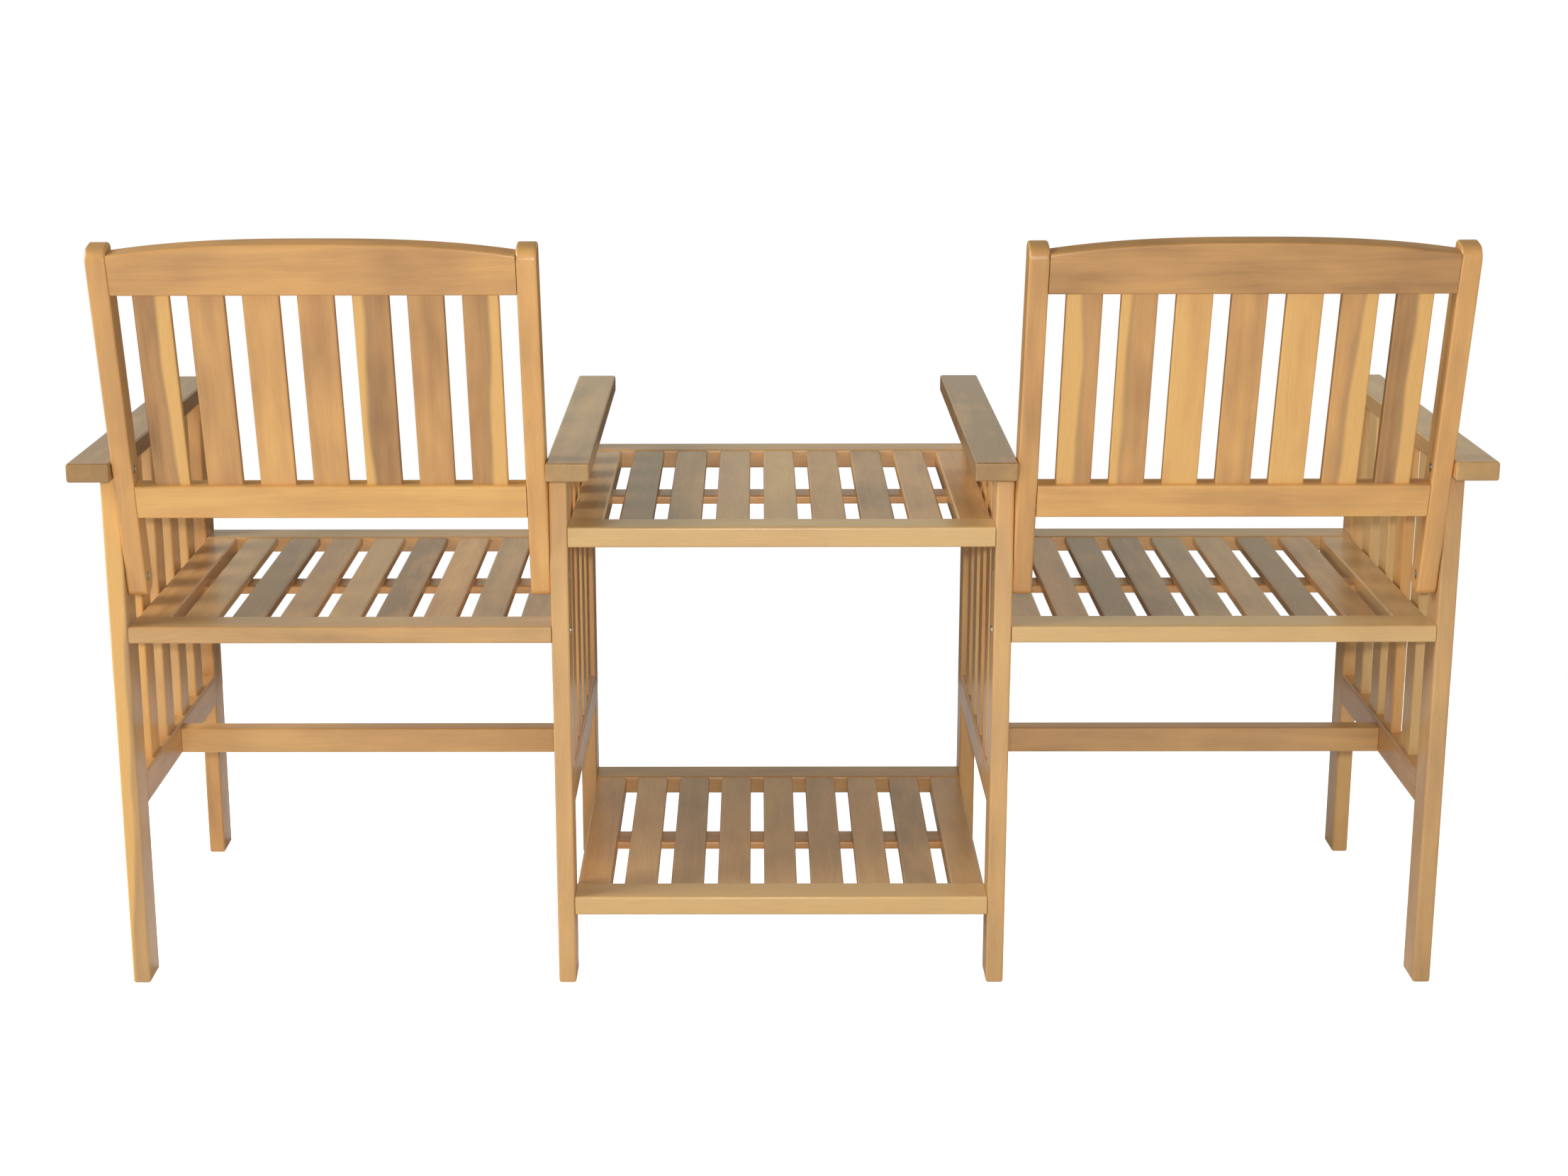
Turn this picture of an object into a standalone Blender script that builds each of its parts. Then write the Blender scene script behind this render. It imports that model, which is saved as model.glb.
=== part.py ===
"""Garden bench for two: a pair of slatted chairs joined by a slatted side table.

The bench is oiled hardwood, held with mortises, zinc bolts and threaded nuts.
+X is the left hand of someone sitting on it, +Y is the rear, +Z is up.
The origin lies on the ground under the middle of the bench.
"""
import math

import bmesh
import bpy
from mathutils import Matrix, Vector

# Clearances and edges
gap = 0.0003
arris = 0.002
cut_overrun = 0.005

# Side frames
panel_width = 0.4835
leg_thickness = 0.0205
leg_depth = 0.0475
frame_depth = 0.484
leg_tenon_length = 0.012
leg_tenon_shoulder = 0.005
arm_top = 0.6345
arm_thickness = 0.0214
arm_width = 0.0483
arm_rear_overhang = 0.0357
arm_front_overhang = 0.0425
side_stretcher_bottom = 0.2092
side_stretcher_height = 0.0393
stretcher_tenon_length = 0.020
stretcher_tenon_shoulder = 0.005

# Slats
slat_tenon_length = 0.008
thin_slat_shoulder = 0.0025
side_slat_count = 4
side_slat_thickness = 0.0130
left_side_slat_thickness = 0.0145
side_slat_outset = 0.0010
left_side_slat_outset = 0.0018
right_side_slat_shifts = (-0.005, 0.0, -0.009, -0.005)
side_slat_width = 0.0403
side_slat_end_gap = 0.0491
panel_slat_count = 9
panel_slat_width = 0.039
panel_slat_thickness = 0.0115
panel_slat_shoulder = 0.003
panel_slat_drop = 0.001
side_rail_height = 0.0224
side_rail_shoulder = 0.0065

# Slatted panels: two seats, the table top and the shelf
panel_rear_setback = 0.0005
seat_top = 0.437
seat_front_setback = 0.001
seat_rail_width = 0.0469
seat_rail_height = 0.0199
seat_lath_forward = 0.011
table_below_arms = 0.0599
table_front_setback = 0.0075
table_rail_width = 0.0437
table_rail_height = 0.0237
shelf_top = 0.1083
shelf_front_setback = 0.0063
shelf_rail_width = 0.0454
shelf_rail_height = 0.0230
panel_tenon_length = 0.010
panel_tenon_shoulder = 0.005
lath_width = 0.040
lath_thickness = 0.0105
lath_housing = 0.0005
lath_tongue = 0.005
left_seat_slat_shift = 0.0022

# Stretcher under each seat
chair_stretcher_rise = 0.0009
chair_stretcher_height = 0.0316
chair_stretcher_thickness = 0.0255
chair_stretcher_tenon_length = 0.009
chair_stretcher_shoulder = 0.006

# Backrests, measured along the lean from the foot of a stile
back_lean = math.radians(13.37)
back_foot_above_seat = 0.0313
back_foot_inset = 0.0119
stile_length = 0.4195
stile_depth = 0.0343
stile_thickness = 0.0225
stile_top_rear_radius = 0.016
stile_top_front_radius = 0.008
stile_foot_rear_radius = 0.011
stile_foot_front_radius = 0.015
back_rail_recess = 0.001
back_tenon_length = 0.010
back_tenon_shoulder = 0.005
lower_rail_foot = 0.1005
lower_rail_height = 0.0395
lower_rail_thickness = 0.0205
crest_foot = 0.3672
crest_end_height = 0.0455
crest_rise = 0.013
crest_curve_power = 2.6
crest_thickness = 0.0225
back_slat_count = 7
back_slat_width = 0.0396
back_slat_thickness = 0.011
back_slat_outer_gap = 0.0221
back_slat_inner_gap = 0.0200
back_slat_recess = 0.0052

# Bolts that hold the stiles, each with its threaded nut
bolt_radius = 0.003
bolt_head_radius = 0.0048
bolt_head_height = 0.003
socket_radius = 0.002
socket_depth = 0.0018
counterbore_radius = 0.0056
counterbore_depth = 0.0035
nut_radius = 0.005
lower_nut_length = 0.013
upper_nut_length = 0.018
upper_nut_sink = 0.001
lower_bolt_above_foot = 0.0242
bolt_behind_middle = 0.0024

# Facets
bolt_facets = 12
hole_facets = 16
corner_facets = 3
crest_facets = 14
smooth_angle = math.radians(35)

# Places that follow from the sizes
chair_centre = panel_width + leg_thickness
inner_seat_face = panel_width / 2 + leg_thickness
outer_seat_face = inner_seat_face + panel_width
crest_reach = (
    (crest_foot + crest_end_height + crest_rise - arris) * math.sin(back_lean)
    - back_rail_recess * math.cos(back_lean)
)
rear_reach = crest_reach - back_foot_inset
rear_y = (frame_depth + arm_front_overhang - rear_reach) / 2
front_y = rear_y - frame_depth
frame_mid_y = (rear_y + front_y) / 2
leg_rows = {"rear": rear_y - leg_depth / 2, "front": front_y + leg_depth / 2}
arm_underside = arm_top - arm_thickness
table_top = arm_underside - table_below_arms
back_foot_height = seat_top + back_foot_above_seat
side_stretcher_top = side_stretcher_bottom + side_stretcher_height
X, Y, Z = range(3)


def clear_scene():
    for thing in list(bpy.data.objects):
        bpy.data.objects.remove(thing, do_unlink=True)


def make_collection(name):
    made = bpy.data.collections.new(name)
    bpy.context.scene.collection.children.link(made)
    return made


def make_material(name, colour, roughness, metallic):
    made = bpy.data.materials.new(name)
    made.use_nodes = True
    shader = made.node_tree.nodes["Principled BSDF"]
    shader.inputs["Base Color"].default_value = (*colour, 1.0)
    shader.inputs["Roughness"].default_value = roughness
    shader.inputs["Metallic"].default_value = metallic
    return made


def mesh_from(name, bm):
    made = bpy.data.meshes.new(name)
    bm.to_mesh(made)
    bm.free()
    return made


def add_piece(name, mesh, material, location=(0, 0, 0), parent=None):
    """Place one piece of the bench."""
    made = bpy.data.objects.new(name, mesh)
    made.location = location
    made.parent = parent
    if not mesh.materials:
        mesh.materials.append(material)
    bench.objects.link(made)
    return made


def add_helper(name, mesh, location=(0, 0, 0), parent=None):
    """Place a shape that is cut from the pieces or joined to them."""
    made = bpy.data.objects.new(name, mesh)
    made.location = location
    made.parent = parent
    made.hide_render = True
    made.display_type = "WIRE"
    cutters.objects.link(made)
    return made


def ease_edges(thing):
    """Take the sharp arrises off the edges that carry a bevel weight."""
    bevel = thing.modifiers.new("arris", "BEVEL")
    bevel.limit_method = "WEIGHT"
    bevel.width = arris
    bevel.segments = 1


def apply_boolean(thing, other, operation):
    boolean = thing.modifiers.new(other.name, "BOOLEAN")
    boolean.operation = operation
    boolean.object = other


def cut(thing, *rooms):
    for room in rooms:
        apply_boolean(thing, room, "DIFFERENCE")


def along_axis(axis, length):
    made = Vector((0, 0, 0))
    made[axis] = length
    return made


def weigh_edges(bm, size, along, exposed):
    """Mark the long edges of a board, and the edges round each end that shows."""
    weight = bm.edges.layers.float.new("bevel_weight_edge")
    half = Vector(size) / 2
    for edge in bm.edges:
        middle = (edge.verts[0].co + edge.verts[1].co) / 2
        on_face = [abs(abs(middle[k]) - half[k]) < gap / 2 for k in (X, Y, Z)]
        if sum(on_face) != 2:
            continue
        end = 1 if middle[along] > 0 else 0
        if exposed[end] or not on_face[along]:
            edge[weight] = 1.0


def board(size, along, exposed=(False, False), tenons=(False, False), tenon=0, shoulder=0):
    """A board about the origin, with a shouldered tenon on each end asked for."""
    bm = bmesh.new()
    bmesh.ops.create_cube(bm, size=1.0, matrix=Matrix.Diagonal((*size, 1.0)))
    for wanted, sign in zip(tenons, (-1, 1)):
        if not wanted:
            continue
        end = max(bm.faces, key=lambda face: sign * face.calc_center_median()[along])
        bmesh.ops.inset_region(bm, faces=[end], thickness=shoulder, use_even_offset=True)
        grown = bmesh.ops.extrude_discrete_faces(bm, faces=[end])["faces"][0]
        bmesh.ops.translate(bm, vec=along_axis(along, sign * tenon), verts=grown.verts[:])
    weigh_edges(bm, size, along, exposed)
    return bm


def copies(mesh, centres):
    """One mesh that holds a copy of a board at each centre."""
    bm = bmesh.new()
    for centre in centres:
        before = len(bm.verts)
        bm.from_mesh(mesh)
        bm.verts.ensure_lookup_table()
        bmesh.ops.translate(bm, vec=centre, verts=bm.verts[before:])
    return mesh_from(mesh.name + "_row", bm)


def tenon_room(name, size, along, tenon, shoulder, centres, parent=None):
    """Clearance for the tenons on both ends of the boards at the given centres."""
    clear = [extent - 2 * shoulder + 2 * gap for extent in size]
    clear[along] = size[along] + 2 * tenon + 2 * gap
    bm = bmesh.new()
    bmesh.ops.create_cube(bm, size=1.0, matrix=Matrix.Diagonal((*clear, 1.0)))
    return add_helper(name, copies(mesh_from(name, bm), centres), parent=parent)


def row_offsets(count, clear_width, slat_width, low_gap, high_gap):
    """Places of equal slats across a clear width, with a set gap at each end."""
    first = low_gap - (clear_width - slat_width) / 2
    last = (clear_width - slat_width) / 2 - high_gap
    return [first + (last - first) * place / (count - 1) for place in range(count)]


def turned(name, profile, facets):
    """Spin a profile of (radius, height) points about Z into a closed body."""
    bm = bmesh.new()
    points = [bm.verts.new((radius, 0, height)) for radius, height in profile]
    lines = [bm.edges.new(pair) for pair in zip(points, points[1:])]
    bmesh.ops.spin(
        bm, geom=points + lines, cent=(0, 0, 0), axis=(0, 0, 1),
        angle=2 * math.pi, steps=facets, use_merge=True,
    )
    bmesh.ops.remove_doubles(bm, verts=bm.verts[:], dist=gap / 10)
    bmesh.ops.recalc_face_normals(bm, faces=bm.faces[:])
    return mesh_from(name, bm)


def bolt_profile(nut_start, nut_end):
    """Half outline of a bolt and its nut, from the face that the head is sunk in."""
    head_base = counterbore_depth - gap
    head_top = head_base - bolt_head_height
    return [
        (0, head_top + socket_depth), (socket_radius, head_top + socket_depth),
        (socket_radius, head_top), (bolt_head_radius, head_top),
        (bolt_head_radius, head_base), (bolt_radius, head_base),
        (bolt_radius, nut_start), (nut_radius, nut_start), (nut_radius, nut_end),
        (socket_radius, nut_end), (socket_radius, nut_end - socket_depth),
        (0, nut_end - socket_depth),
    ]


def bolt_room_profile(nut_start, room_end):
    """Half outline of the stepped hole for a bolt and its nut."""
    return [
        (0, -cut_overrun), (counterbore_radius, -cut_overrun),
        (counterbore_radius, counterbore_depth), (bolt_radius + gap, counterbore_depth),
        (bolt_radius + gap, nut_start - gap), (nut_radius + gap, nut_start - gap),
        (nut_radius + gap, room_end), (0, room_end),
    ]


def make_back_bolts():
    """Two bolts through each stile: one into the armrest, one through the rear leg."""
    leg_far_face = stile_thickness + gap + leg_thickness
    upper_start = stile_thickness + gap + upper_nut_sink
    upper_end = upper_start + upper_nut_length
    lower_start = leg_far_face - lower_nut_length
    upper_bolt_rise = arm_top - arm_thickness / 2 - back_foot_height
    kinds = {
        "upper": (upper_bolt_rise, upper_start, upper_end, upper_end + gap),
        "lower": (lower_bolt_above_foot, lower_start, leg_far_face - gap,
                  leg_far_face + cut_overrun),
    }
    rooms = []
    for kind, (rise, nut_start, nut_end, room_end) in kinds.items():
        mesh = turned(kind + "_back_bolt", bolt_profile(nut_start, nut_end), bolt_facets)
        mesh.shade_smooth()
        mesh.set_sharp_from_angle(angle=smooth_angle)
        room = turned(kind + "_bolt_room", bolt_room_profile(nut_start, room_end), hole_facets)
        rear_face_y = rear_y - back_foot_inset + rise * math.tan(back_lean)
        bolt_y = rear_face_y - stile_depth / 2 / math.cos(back_lean) + bolt_behind_middle
        for chair, centre in chairs.items():
            for side in (-1, 1):
                inner_x = centre + side * (panel_width / 2 - gap - stile_thickness)
                place = "outer" if side * centre > 0 else "inner"
                label = "_".join((chair, place, kind))
                bolt = add_piece(label + "_back_bolt", mesh, zinc_steel,
                                 (inner_x, bolt_y, back_foot_height + rise))
                hole = add_helper(label + "_bolt_room", room, bolt.location)
                for thing in (bolt, hole):
                    thing.rotation_euler.y = side * math.pi / 2
                rooms.append((chair, place, kind, hole))
    return rooms


def bolt_rooms_for(chair, place, kinds):
    return [room for *key, room in bolt_rooms if key[:2] == [chair, place] and key[2] in kinds]


def make_side_frame(chair, place, face, outward, slat_thickness=side_slat_thickness,
                    slat_outset=side_slat_outset, slat_shifts=(0,) * side_slat_count):
    """Two legs, an armrest, and a low stretcher with four upright slats."""
    name = chair + "_" + place + "_"
    leg_x = face + outward * leg_thickness / 2
    leg_height = arm_underside - gap
    leg_size = (leg_thickness, leg_depth, leg_height)
    stretcher_size = (leg_thickness, frame_depth - 2 * leg_depth - 2 * gap, side_stretcher_height)
    stretcher_z = side_stretcher_bottom + side_stretcher_height / 2
    stretcher_room = tenon_room(
        name + "stretcher_room", stretcher_size, Y, stretcher_tenon_length,
        stretcher_tenon_shoulder, [Vector((leg_x, frame_mid_y, stretcher_z))],
    )
    for row, leg_y in leg_rows.items():
        bm = board(leg_size, Z, exposed=(True, False), tenons=(False, True),
                   tenon=leg_tenon_length, shoulder=leg_tenon_shoulder)
        leg = add_piece(name + row + "_leg", mesh_from("leg", bm), oiled_hardwood,
                        (leg_x, leg_y, leg_height / 2))
        ease_edges(leg)
        cut(leg, stretcher_room, *panel_rooms)
        if row == "rear":
            cut(leg, *bolt_rooms_for(chair, place, ("upper", "lower")))

    bm = board(stretcher_size, Y, tenons=(True, True),
               tenon=stretcher_tenon_length, shoulder=stretcher_tenon_shoulder)
    grille = add_piece(name + "slatted_side", mesh_from("side_stretcher", bm), oiled_hardwood,
                       (leg_x, frame_mid_y, stretcher_z))
    slat_foot = side_stretcher_top - slat_tenon_length
    slat_size = (slat_thickness, side_slat_width, arm_underside - gap - slat_foot)
    slat_x = leg_x + outward * slat_outset
    offsets = row_offsets(side_slat_count, stretcher_size[Y], side_slat_width,
                          side_slat_end_gap, side_slat_end_gap)
    centres = [Vector((slat_x, frame_mid_y + offset + shift, slat_foot + slat_size[Z] / 2))
               for offset, shift in zip(offsets, slat_shifts)]
    bm = board(slat_size, Z, tenons=(False, True),
               tenon=slat_tenon_length, shoulder=thin_slat_shoulder)
    slats = add_helper(name + "side_slats", copies(mesh_from("side_slat", bm), centres))
    ease_edges(grille)
    ease_edges(slats)
    apply_boolean(grille, slats, "UNION")
    cut(grille, *stretcher_rooms)

    arm_length = frame_depth + arm_rear_overhang + arm_front_overhang
    arm_size = (arm_width, arm_length, arm_thickness)
    arm_y = frame_mid_y + (arm_rear_overhang - arm_front_overhang) / 2
    arm = add_piece(name + "armrest", mesh_from("armrest", board(arm_size, Y, (True, True))),
                    oiled_hardwood,
                    (face + outward * arm_width / 2, arm_y, arm_top - arm_thickness / 2))
    ease_edges(arm)
    leg_room = tenon_room(
        name + "leg_room", leg_size, Z, leg_tenon_length, leg_tenon_shoulder,
        [Vector((leg_x, leg_y, leg_height / 2)) for leg_y in leg_rows.values()],
    )
    slat_room = tenon_room(name + "slat_room", slat_size, Z, slat_tenon_length,
                           thin_slat_shoulder, centres)
    cut(arm, leg_room, slat_room, *bolt_rooms_for(chair, place, ("upper",)))


def make_panel(name, centre, top, front_setback, rail_width, rail_height,
               lath_forward=0, slat_shift=0):
    """Two rails tenoned into the legs, with side rails and slats on a lath between them."""
    depth = frame_depth - panel_rear_setback - front_setback
    panel_y = rear_y - panel_rear_setback - depth / 2
    length = depth - 2 * rail_width - 2 * gap
    deck_top = top - panel_slat_drop
    offsets = row_offsets(panel_slat_count, panel_width, panel_slat_width, gap, gap)
    clear_width = offsets[-1] - offsets[0] - panel_slat_width
    lath_size = (clear_width + 2 * lath_tongue, lath_width, lath_thickness)
    lath_top = deck_top - panel_slat_thickness + lath_housing
    deck = add_piece(name + "_slats", mesh_from("lath", board(lath_size, X)), oiled_hardwood,
                     (centre, panel_y - lath_forward, lath_top - lath_thickness / 2))
    ease_edges(deck)
    rooms = []
    for kind, thickness, shoulder, places in (
        ("side_rail", side_rail_height, side_rail_shoulder, (offsets[0], offsets[-1])),
        ("slat", panel_slat_thickness, panel_slat_shoulder,
         [offset + slat_shift for offset in offsets[1:-1]]),
    ):
        size = (panel_slat_width, length, thickness)
        centres = [Vector((centre + place, panel_y, deck_top - thickness / 2))
                   for place in places]
        bm = board(size, Y, tenons=(True, True), tenon=slat_tenon_length, shoulder=shoulder)
        row = add_helper(name + "_" + kind + "_row",
                         copies(mesh_from("panel_" + kind, bm), centres))
        ease_edges(row)
        apply_boolean(deck, row, "UNION")
        rooms.append(tenon_room(name + "_" + kind + "_room", size, Y, slat_tenon_length,
                                shoulder, centres))

    rail_size = (panel_width - 2 * gap, rail_width, rail_height)
    rail_z = top - rail_height / 2
    reach = (depth - rail_width) / 2
    rail_rows = {"rear": panel_y + reach, "front": panel_y - reach}
    for row, rail_y in rail_rows.items():
        bm = board(rail_size, X, tenons=(True, True),
                   tenon=panel_tenon_length, shoulder=panel_tenon_shoulder)
        rail = add_piece(name + "_" + row + "_rail", mesh_from("rail", bm), oiled_hardwood,
                         (centre, rail_y, rail_z))
        ease_edges(rail)
        cut(rail, *rooms)
    return tenon_room(
        name + "_rail_room", rail_size, X, panel_tenon_length, panel_tenon_shoulder,
        [Vector((centre, rail_y, rail_z)) for rail_y in rail_rows.values()],
    )


def make_chair_stretcher(name, centre):
    """The bar under a seat, tenoned into the side stretchers of its two frames."""
    size = (panel_width - 2 * gap, chair_stretcher_thickness, chair_stretcher_height)
    bottom = side_stretcher_bottom + chair_stretcher_rise
    middle = Vector((centre, frame_mid_y, bottom + chair_stretcher_height / 2))
    bm = board(size, X, tenons=(True, True),
               tenon=chair_stretcher_tenon_length, shoulder=chair_stretcher_shoulder)
    bar = add_piece(name + "_chair_stretcher", mesh_from("chair_stretcher", bm),
                    oiled_hardwood, middle)
    ease_edges(bar)
    return tenon_room(name + "_stretcher_end_room", size, X, chair_stretcher_tenon_length,
                      chair_stretcher_shoulder, [middle])


def crosses(edge):
    """Whether an edge runs along X."""
    start, end = (vert.co for vert in edge.verts)
    return abs(start.x - end.x) > gap


def stile_mesh():
    """A back stile with its four corners rounded as seen from the side."""
    size = (stile_thickness, stile_depth, stile_length)
    corners = (
        (1, 1, stile_top_rear_radius), (-1, 1, stile_top_front_radius),
        (1, -1, stile_foot_rear_radius), (-1, -1, stile_foot_front_radius),
    )
    bm = bmesh.new()
    bmesh.ops.create_cube(bm, size=1.0, matrix=Matrix.Diagonal((*size, 1.0)))
    for side_y, side_z, radius in corners:
        toward = Vector((0, side_y, side_z))
        corner = max(filter(crosses, bm.edges), key=lambda edge: toward.dot(edge.verts[0].co))
        bmesh.ops.bevel(bm, geom=[corner], offset=radius, offset_type="OFFSET",
                        segments=corner_facets, profile=0.5, affect="EDGES")
    weight = bm.edges.layers.float.new("bevel_weight_edge")
    for edge in bm.edges:
        if not crosses(edge):
            edge[weight] = 1.0
    return mesh_from("stile", bm)


def crest_mesh(size):
    """The arched top rail of a back, with a straight lower edge."""
    bm = board(size, X, tenons=(True, True), tenon=back_tenon_length, shoulder=back_tenon_shoulder)
    half = size[X] / 2
    long_edges = [edge for edge in bm.edges if edge.calc_length() > half]
    bmesh.ops.subdivide_edges(bm, edges=long_edges, cuts=crest_facets - 1, use_grid_fill=True)
    for vert in bm.verts:
        if vert.co.z > crest_end_height / 2 - gap:
            share = abs(vert.co.x) / half
            vert.co.z += crest_rise * (1 - share ** crest_curve_power)
    return mesh_from("crest_rail", bm)


def make_back(name, centre):
    """Two stiles, an arched crest, a lower rail and seven slats, all leaning back."""
    lean = bpy.data.objects.new(name + "_back_lean", None)
    lean.location = (centre, rear_y - back_foot_inset, back_foot_height)
    lean.rotation_euler.x = -back_lean
    bench.objects.link(lean)

    clear_width = panel_width - 2 * gap - 2 * stile_thickness - 2 * gap
    crest_size = (clear_width, crest_thickness, crest_end_height)
    crest_middle = Vector((0, -back_rail_recess - crest_thickness / 2,
                           crest_foot + crest_end_height / 2))
    lower_size = (clear_width, lower_rail_thickness, lower_rail_height)
    lower_middle = Vector((0, -back_rail_recess - lower_rail_thickness / 2,
                           lower_rail_foot + lower_rail_height / 2))
    rail_rooms = [
        tenon_room(name + "_crest_room", crest_size, X, back_tenon_length,
                   back_tenon_shoulder, [crest_middle], lean),
        tenon_room(name + "_lower_rail_room", lower_size, X, back_tenon_length,
                   back_tenon_shoulder, [lower_middle], lean),
    ]
    for side in (-1, 1):
        place = "outer" if side * centre > 0 else "inner"
        stile_x = side * (panel_width / 2 - gap - stile_thickness / 2)
        stile = add_piece(name + "_" + place + "_stile", stile_mesh(), oiled_hardwood,
                          (stile_x, -stile_depth / 2, stile_length / 2), lean)
        ease_edges(stile)
        cut(stile, *rail_rooms, *bolt_rooms_for(name, place, ("upper", "lower")))

    slat_foot = lower_rail_foot + lower_rail_height + gap
    slat_size = (back_slat_width, back_slat_thickness, crest_foot - gap - slat_foot)
    slat_y = -back_rail_recess - back_slat_recess - back_slat_thickness / 2
    end_gaps = (back_slat_inner_gap, back_slat_outer_gap)
    if centre < 0:
        end_gaps = (back_slat_outer_gap, back_slat_inner_gap)
    offsets = row_offsets(back_slat_count, clear_width, back_slat_width, *end_gaps)
    centres = [Vector((offset, slat_y, slat_foot + slat_size[Z] / 2)) for offset in offsets]
    bm = board(slat_size, Z, tenons=(True, True),
               tenon=slat_tenon_length, shoulder=thin_slat_shoulder)
    slat_mesh = mesh_from("back_slat", bm)
    for number, middle in enumerate(centres, start=1):
        slat = add_piece(name + "_back_slat_" + str(number), slat_mesh, oiled_hardwood,
                         middle, lean)
        ease_edges(slat)
    slat_room = tenon_room(name + "_back_slat_room", slat_size, Z, slat_tenon_length,
                           thin_slat_shoulder, centres, lean)

    crest = add_piece(name + "_crest_rail", crest_mesh(crest_size), oiled_hardwood,
                      crest_middle, lean)
    bm = board(lower_size, X, tenons=(True, True),
               tenon=back_tenon_length, shoulder=back_tenon_shoulder)
    lower = add_piece(name + "_lower_back_rail", mesh_from("lower_back_rail", bm),
                      oiled_hardwood, lower_middle, lean)
    for rail in (crest, lower):
        ease_edges(rail)
        cut(rail, slat_room)


clear_scene()
bench = make_collection("garden_bench")
cutters = make_collection("cutters")
oiled_hardwood = make_material("oiled_hardwood", (0.60, 0.36, 0.16), 0.5, 0.0)
zinc_steel = make_material("zinc_steel", (0.62, 0.63, 0.65), 0.35, 1.0)
chairs = {"left": chair_centre, "right": -chair_centre}

seat_sizes = (seat_top, seat_front_setback, seat_rail_width, seat_rail_height, seat_lath_forward)
panel_rooms = [
    make_panel("left_seat", chairs["left"], *seat_sizes, left_seat_slat_shift),
    make_panel("right_seat", chairs["right"], *seat_sizes),
]
panel_rooms.append(
    make_panel("table", 0, table_top, table_front_setback, table_rail_width, table_rail_height)
)
panel_rooms.append(
    make_panel("shelf", 0, shelf_top, shelf_front_setback, shelf_rail_width, shelf_rail_height)
)
stretcher_rooms = [make_chair_stretcher(chair, centre) for chair, centre in chairs.items()]
bolt_rooms = make_back_bolts()
make_side_frame("left", "outer", outer_seat_face, 1, left_side_slat_thickness,
                left_side_slat_outset)
make_side_frame("left", "inner", inner_seat_face, -1)
make_side_frame("right", "inner", -inner_seat_face, 1)
make_side_frame("right", "outer", -outer_seat_face, -1, slat_shifts=right_side_slat_shifts)
for chair_name, chair_x in chairs.items():
    make_back(chair_name, chair_x)
bpy.context.view_layer.update()
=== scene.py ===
import math
import random

import bmesh
import bpy
from mathutils import Matrix, Vector


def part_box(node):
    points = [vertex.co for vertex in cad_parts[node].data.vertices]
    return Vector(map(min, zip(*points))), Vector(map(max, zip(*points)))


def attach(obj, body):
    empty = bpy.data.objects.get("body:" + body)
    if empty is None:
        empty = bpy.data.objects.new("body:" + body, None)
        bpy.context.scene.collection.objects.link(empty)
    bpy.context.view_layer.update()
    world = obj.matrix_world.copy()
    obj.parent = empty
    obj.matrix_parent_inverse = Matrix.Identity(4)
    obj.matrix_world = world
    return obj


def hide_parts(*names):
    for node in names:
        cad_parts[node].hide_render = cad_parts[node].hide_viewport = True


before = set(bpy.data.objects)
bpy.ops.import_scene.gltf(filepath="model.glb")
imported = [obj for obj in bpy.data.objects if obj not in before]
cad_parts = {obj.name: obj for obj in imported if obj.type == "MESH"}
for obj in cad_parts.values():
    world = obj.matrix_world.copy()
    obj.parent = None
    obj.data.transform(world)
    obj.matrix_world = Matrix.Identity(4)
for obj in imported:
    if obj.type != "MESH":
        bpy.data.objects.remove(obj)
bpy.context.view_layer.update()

# ---------------------------------------------------------------- Side frames: legs
# Eight legs of planed acacia, 20 by 47 mm. The foot of each is sawn square and eased,
# and its top is tenoned and glued up into the armrest. The rear ones are bored for the
# nuts of the bolts that hold the back.
along_x, along_y, along_z = Vector((1, 0, 0)), Vector((0, 1, 0)), Vector((0, 0, 1))
arris = 0.0028
arris_segments = 3
flat_angle = math.radians(35)
joint_gap = 0.0003
nut_hole_radius = 0.0053
nut_hole_depth = 0.0133
cut_overrun = 0.005
heart_radius = 0.101
edge_band_radii = (0.090, 0.099)
sapwood_radii = (0.098, 0.104)


def linear(hex_colour):
    """An sRGB hex colour as the linear colour that Blender mixes."""
    parts = [int(hex_colour[place:place + 2], 16) / 255 for place in (1, 3, 5)]
    return tuple(
        part / 12.92 if part <= 0.04045 else ((part + 0.055) / 1.055) ** 2.4 for part in parts
    ) + (1.0,)


def add_node(tree, kind, inputs=None, **settings):
    """Add a node, make its settings, and give its inputs a value or a link each."""
    made = tree.nodes.new(kind)
    for name, value in settings.items():
        setattr(made, name, value)
    for socket, given in (inputs or {}).items():
        for value in given if isinstance(given, list) else [given]:
            if isinstance(value, bpy.types.NodeSocket):
                tree.links.new(value, made.inputs[socket])
            else:
                made.inputs[socket].default_value = value
    return made


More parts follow.
